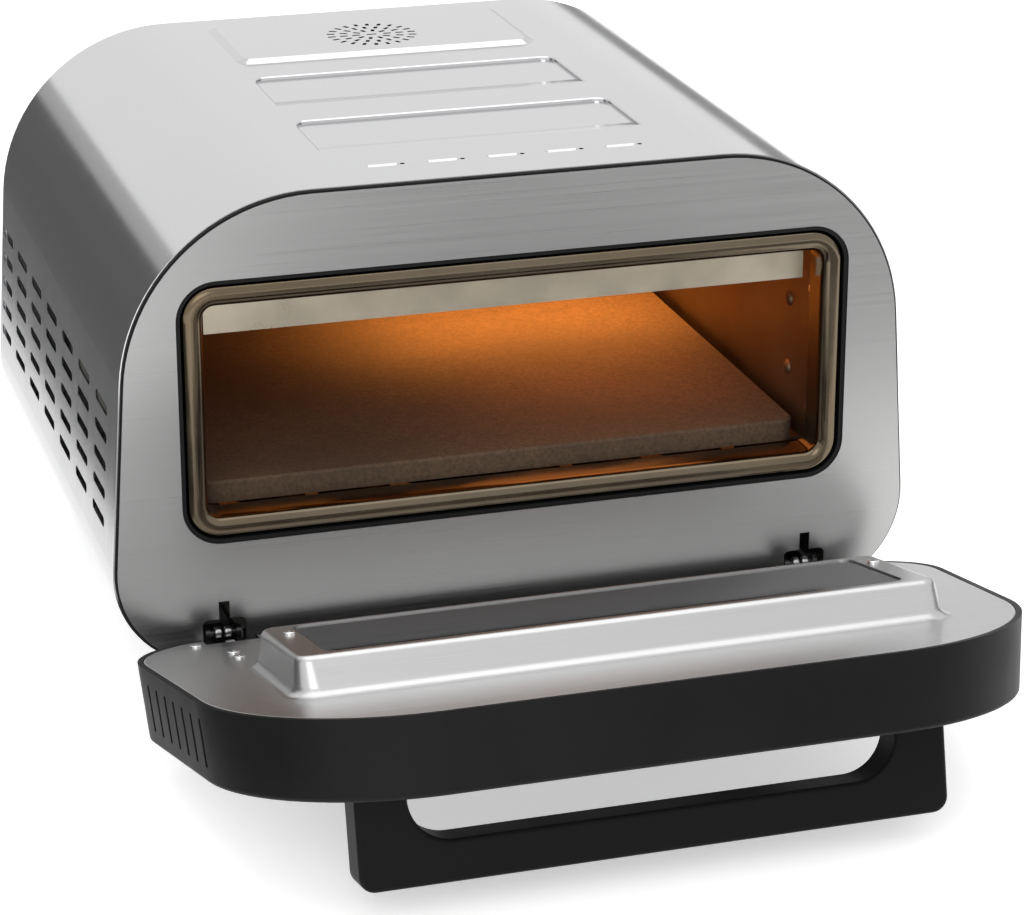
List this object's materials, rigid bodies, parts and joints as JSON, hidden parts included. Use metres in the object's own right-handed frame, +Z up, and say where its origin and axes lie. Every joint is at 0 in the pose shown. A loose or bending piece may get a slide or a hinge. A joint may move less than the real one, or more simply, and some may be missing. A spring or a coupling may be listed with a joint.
{
  "type": "countertop pizza oven",
  "caption": "Countertop pizza oven: a rounded brushed-steel case on feet, with a deep drop-down door, a window, a bar handle, a baking stone and heating elements in its cavity.",
  "frame": {"origin": "on the surface that the oven stands on, at the middle of its footprint with the door standing open", "axes": "+Z up, the door faces -Y, +X is to the right of someone who faces the door"},
  "size_m": [0.441, 0.6397, 0.2938],
  "materials": {
    "case_steel": "brushed stainless steel",
    "panel_steel": "brushed stainless steel, finer grain",
    "bead_steel": "polished steel with a warm heat tint",
    "liner_steel": "bare steel browned by heat",
    "baffle_steel": "satin steel, pale and warm",
    "zinc_steel": "zinc-plated sheet",
    "screw_steel": "bright plated steel",
    "element_metal": "dull sheathed tube, glowing when hot",
    "black_plastic": "satin moulded plastic",
    "handle_plastic": "smooth satin moulded plastic",
    "gloss_black": "gloss moulded plastic",
    "knob_plastic": "satin moulded plastic with a pale pointer",
    "button_metal": "satin plated button",
    "black_rubber": "silicone rubber",
    "baking_stone": "dark cordierite baking stone",
    "white_ceramic": "unglazed steatite",
    "white_nylon": "plain nylon",
    "fibre_blanket": "ceramic fibre blanket",
    "circuit_board": "solder-masked circuit board",
    "wire_sleeve": "silicone and glass braid sleeve",
    "dark_glass": "dark tempered glass",
    "clear_glass": "smoked tempered glass",
    "display_glass": "dark display window"
  },
  "bodies": {
    "oven_body": {"base_plate": "zinc_steel", "base_screws": "screw_steel", "board_bracket": "zinc_steel", "cavity_bead": "bead_steel", "cavity_gasket": "black_rubber", "cavity_liner": "liner_steel", "cavity_wall_screws": "screw_steel", "cord_gland": "black_plastic", "element_bushings": "white_ceramic", "element_terminals": "screw_steel", "element_wires": "wire_sleeve", "exhaust_duct": "zinc_steel", "foot_front_left": "black_plastic", "foot_front_right": "black_plastic", "foot_pads": "black_rubber", "foot_rear_left": "black_plastic", "foot_rear_right": "black_plastic", "foot_screws": "screw_steel", "front_baffle": "baffle_steel", "front_panel": "panel_steel", "front_seam_gasket": "black_rubber", "hinge_bracket_left": "zinc_steel", "hinge_bracket_right": "zinc_steel", "hinge_bushes": "white_nylon", "hinge_pins": "screw_steel", "insulation_blanket": "fibre_blanket", "lower_element_supports": "zinc_steel", "lower_heating_element": "element_metal", "outer_shell": "case_steel", "power_board": "circuit_board", "rear_panel": "zinc_steel", "rear_panel_screws": "screw_steel", "rear_spacers": "black_plastic", "stone_rails": "liner_steel", "temperature_probe": "screw_steel", "upper_element_supports": "zinc_steel", "upper_heating_element": "element_metal", "upper_reflector": "baffle_steel"},
    "door": {"hinge_arm_left": "zinc_steel", "hinge_arm_right": "zinc_steel", "door_inner_panel": "panel_steel", "door_panel_screws": "screw_steel", "door_frame": "black_plastic", "door_outer_panel": "panel_steel", "door_insulation": "fibre_blanket", "outer_glass": "clear_glass", "inner_glass": "dark_glass", "window_seal": "black_rubber", "window_tunnel": "zinc_steel", "window_screws": "screw_steel", "door_handle": "handle_plastic", "handle_screws": "screw_steel", "control_panel": "gloss_black", "display_lens": "display_glass", "control_board": "circuit_board", "rotary_controls": "gloss_black"},
    "temperature_knob": {"temperature_knob": "knob_plastic"},
    "timer_knob": {"timer_knob": "knob_plastic"},
    "start_button": {"start_button": "button_metal"},
    "pizza_stone": {"pizza_stone": "baking_stone"}
  },
  "joints": [
    {"name": "door_hinge", "type": "hinge", "parent": "oven_body", "child": "door", "pos_m": [0, -0.08179, 0.04394], "axis": [-1, 0, 0], "range_deg": [0, 76.57]},
    {"name": "temperature_knob_turn", "type": "hinge", "parent": "door", "child": "temperature_knob", "pos_m": [-0.1, -0.12145, 0.02421], "axis": [0, 0.2323, 0.9727], "range_deg": [0, 270]},
    {"name": "timer_knob_turn", "type": "hinge", "parent": "door", "child": "timer_knob", "pos_m": [0.1, -0.12145, 0.02421], "axis": [0, 0.2323, 0.9727], "range_deg": [0, 300]},
    {"name": "start_button_press", "type": "slide", "parent": "door", "child": "start_button", "axis": [0, 0.2323, 0.9727], "range_m": [0, 0.0015], "stiffness_N_per_m": 400, "springref_m": -0.001},
    {"name": "stone_lift", "type": "slide", "parent": "oven_body", "child": "pizza_stone", "axis": [0, 0, 1], "range_m": [0, 0.012]}
  ]
}
